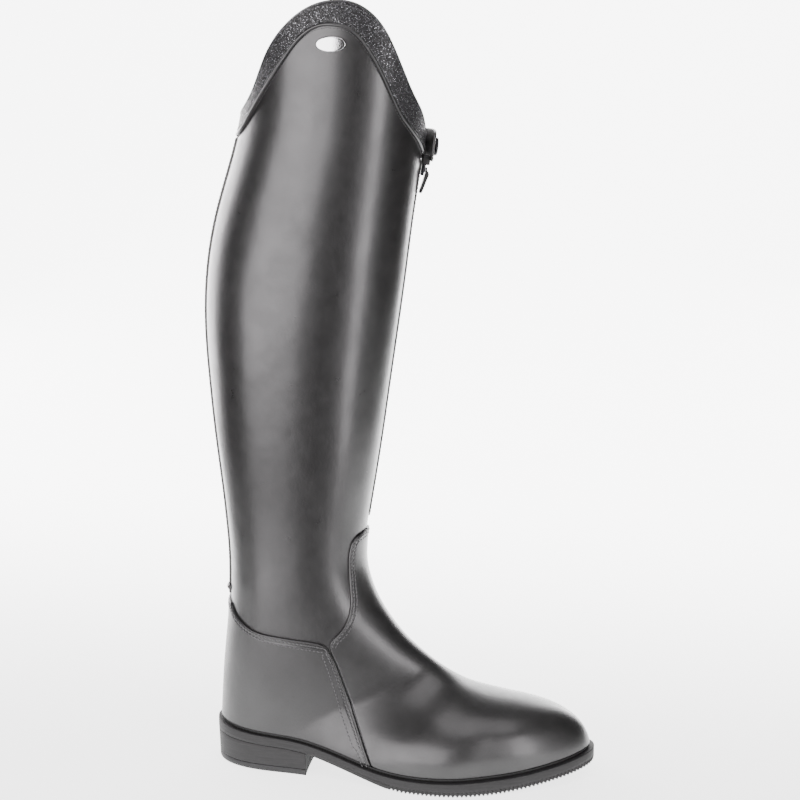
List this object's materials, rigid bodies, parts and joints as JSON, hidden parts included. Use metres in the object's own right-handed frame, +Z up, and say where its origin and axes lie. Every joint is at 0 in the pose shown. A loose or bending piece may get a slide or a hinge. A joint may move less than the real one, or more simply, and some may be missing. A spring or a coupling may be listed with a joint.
{
  "type": "riding boot",
  "caption": "Tall smooth leather dress riding boot with a high curved collar, textured cuff, zip in front and low heel, right foot.",
  "frame": {"origin": "middle of the bounding box in plan, on the floor under the sole", "axes": "+X towards the toe, +Y towards the medial side, +Z up along the shaft"},
  "size_m": [0.2848, 0.1102, 0.5627],
  "materials": {
    "smooth_leather": "smooth, semi-gloss black",
    "vamp_leather": "smooth, semi-gloss black",
    "counter_leather": "smooth, satin black",
    "grained_leather": "coarse glittering grain, black",
    "piping": "black cord",
    "strip_leather": "matt black",
    "tab_leather": "satin black",
    "zip_tape": "woven black tape",
    "black_metal": "black coated metal",
    "polished_plate": "polished, plain",
    "insole_lining": "plain dark lining",
    "midsole": "matt black",
    "sole_rubber": "matt black, smooth edge",
    "heel": "matt black, smooth edge",
    "top_lift": "matt black"
  },
  "bodies": {
    "boot": {"upper": "smooth_leather", "vamp": "vamp_leather", "counter": "counter_leather", "cuff": "grained_leather", "cuff_piping": "piping", "back_strip": "strip_leather", "spur_rest": "strip_leather", "badge_plate": "polished_plate", "zip_tape": "zip_tape", "zip_teeth": "black_metal", "zip_slider": "black_metal", "closure_tab": "tab_leather", "press_stud": "black_metal", "insole": "insole_lining", "midsole": "midsole", "outsole": "sole_rubber", "heel_block": "heel", "top_lift": "top_lift"},
    "zip_pull": {"zip_pull": "black_metal"}
  },
  "joints": [
    {"name": "pull_hinge", "type": "hinge", "parent": "boot", "child": "zip_pull", "pos_m": [0.01617, 0.01482, 0.44326], "axis": [0.2817, -0.9595, 0], "range_deg": [0, 60]}
  ]
}
